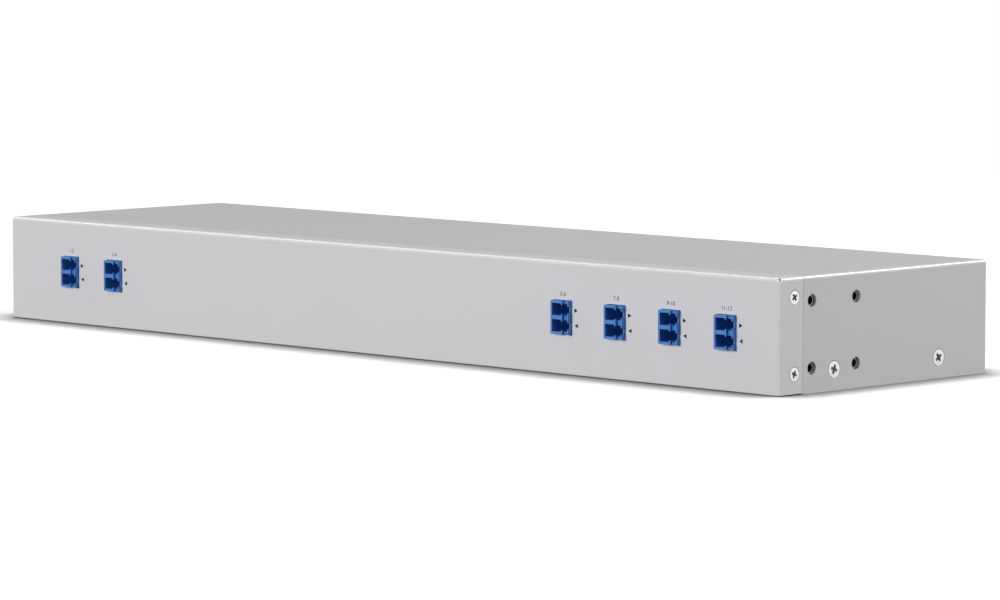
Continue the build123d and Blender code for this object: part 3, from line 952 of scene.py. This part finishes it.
@dataclass
class Studio:
    """Camera, lamps, white surroundings and floor."""

    camera_place: Triple = (1.35223, -1.34546, 0.19119)
    camera_direction: Triple = (-0.7016, 0.7068, -0.0906)
    lens: float = 169.51
    sensor: float = 36.0
    sight: float = 100.0
    floor_size: float = 1.8
    floor_seen: float = 0.92
    floor_bounce: float = 0.12
    floor_glow: float = 0.5
    # Reach, strength and samples of the painted contact shadow on the floor.
    painted_shadow_reach: float = 0.02
    painted_shadow_depth: float = 2.6
    painted_shadow_samples: int = 16
    sky: float = 0.13
    lamps: tuple[Softbox, ...] = (
        Softbox("front_softbox", (-0.2, -2.4, 0.55), 1.8, 1.1, 54.0),
        Softbox("side_softbox", (2.4, 0.25, 0.5), 1.2, 0.9, 26.0),
        Softbox("left_edge_light", (-2.25, -0.3, 2.18), 0.54, 2.55, 21.0),
        Softbox("rear_edge_light", (0.95, 1.2, 1.2), 1.1, 0.3, 16.5),
    )

    def build(self) -> None:
        """Set the camera, the lamps, the world and the floor."""
        self._camera()
        self._world()
        self._floor()
        for lamp in self.lamps:
            lamp.build()
        bpy.context.scene.view_settings.view_transform = "Standard"

    def _camera(self) -> None:
        """Stand the camera where the photograph was taken from."""
        camera = bpy.data.cameras.new("camera")
        camera.lens = self.lens
        camera.sensor_width = self.sensor
        camera.clip_end = self.sight
        holder = bpy.data.objects.new("camera", camera)
        holder.location = self.camera_place
        holder.rotation_euler = Vector(self.camera_direction).to_track_quat("-Z", "Y").to_euler()
        bpy.context.scene.collection.objects.link(holder)
        bpy.context.scene.camera = holder

    @staticmethod
    def _seen(tree: bpy.types.ShaderNodeTree) -> bpy.types.NodeSocket:
        """Add nodes that tell rays which show the background from rays which light the part.

        Args:
            tree: The material's or the world's node tree.

        Returns:
            A socket that is 1 for camera, glossy and transmission rays, and 0 for others.
        """
        path = tree.nodes.new("ShaderNodeLightPath").outputs
        either = math_node(tree, "MAXIMUM", path["Is Camera Ray"], path["Is Glossy Ray"])
        return math_node(tree, "MAXIMUM", either, path["Is Transmission Ray"])

    def _painted_contact_shadow(self, tree: bpy.types.ShaderNodeTree) -> bpy.types.NodeSocket:
        """Add nodes that paint a contact shadow on the floor where the part stands close over it.

        Args:
            tree: The floor material's node tree.

        Returns:
            A socket that is 1 in the open and falls towards 0 at the part's foot.
        """
        cover = tree.nodes.new("ShaderNodeAmbientOcclusion")
        cover.samples = self.painted_shadow_samples
        cover.inputs["Distance"].default_value = self.painted_shadow_reach
        return math_node(tree, "POWER", cover.outputs["AO"], self.painted_shadow_depth)

    def _world(self) -> None:
        """White behind the part and in its reflections, and a softer sky as a light."""
        world = bpy.data.worlds.new("surroundings")
        world.use_nodes = True
        bpy.context.scene.world = world
        tree = world.node_tree
        tree.nodes.clear()
        sky = tree.nodes.new("ShaderNodeBackground")
        white = tree.nodes.new("ShaderNodeBackground")
        mix = tree.nodes.new("ShaderNodeMixShader")
        result = tree.nodes.new("ShaderNodeOutputWorld")
        sky.inputs["Strength"].default_value = self.sky
        for background in (sky, white):
            background.inputs["Color"].default_value = opaque(WHITE)
        for socket, value in (
            (mix.inputs["Fac"], self._seen(tree)),
            (mix.inputs[1], sky.outputs["Background"]),
            (mix.inputs[2], white.outputs["Background"]),
            (result.inputs["Surface"], mix.outputs["Shader"]),
        ):
            feed(tree, socket, value)

    def _floor(self) -> None:
        """A pale floor that is white where it is seen, keeps the part's shadow from the lamps and
        gets a painted contact shadow at the part's foot.
        """
        bm = bmesh.new()
        bmesh.ops.create_grid(bm, x_segments=1, y_segments=1, size=self.floor_size / 2)
        mesh = mesh_from(bm, "floor")
        material = bpy.data.materials.new("floor_white")
        material.use_nodes = True
        tree = material.node_tree
        seen = self._seen(tree)
        # Painted contact shadow: the floor's seen tone and its glow fall off near the part's foot.
        painted_shadow_factor = self._painted_contact_shadow(tree)
        shaded = mix_node(tree, painted_shadow_factor, opaque(BLACK), opaque((self.floor_seen,) * 3))
        tone = mix_node(tree, seen, opaque((self.floor_bounce,) * 3), shaded)
        seen_outside_painted_shadow = math_node(tree, "MULTIPLY", seen, painted_shadow_factor)
        glow = math_node(tree, "MULTIPLY", seen_outside_painted_shadow, self.floor_glow)
        surface = tree.nodes["Principled BSDF"]
        for name, value in (
            ("Base Color", tone),
            ("Roughness", 1.0),
            ("Specular IOR Level", 0.0),
            ("Emission Color", opaque(WHITE)),
            ("Emission Strength", glow),
        ):
            feed(tree, surface.inputs[name], value)
        mesh.materials.append(material)
        floor = bpy.data.objects.new("floor", mesh)
        bpy.context.scene.collection.objects.link(floor)


def main() -> None:
    """Build and dress every sub-assembly, then the studio."""
    logging.basicConfig(level=logging.INFO, format="%(name)s %(message)s")
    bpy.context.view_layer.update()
    Chassis().build()
    SideScrews(bezel=M3_SCREW, cover=M4_SCREW).build()
    EarNuts().build()
    for count, name in enumerate(PORTS):
        FibrePort(name, first_fibre=2 * count + 1).build()
    FilterCassette().build()
    Studio().build()


if __name__ == "__main__":
    main()
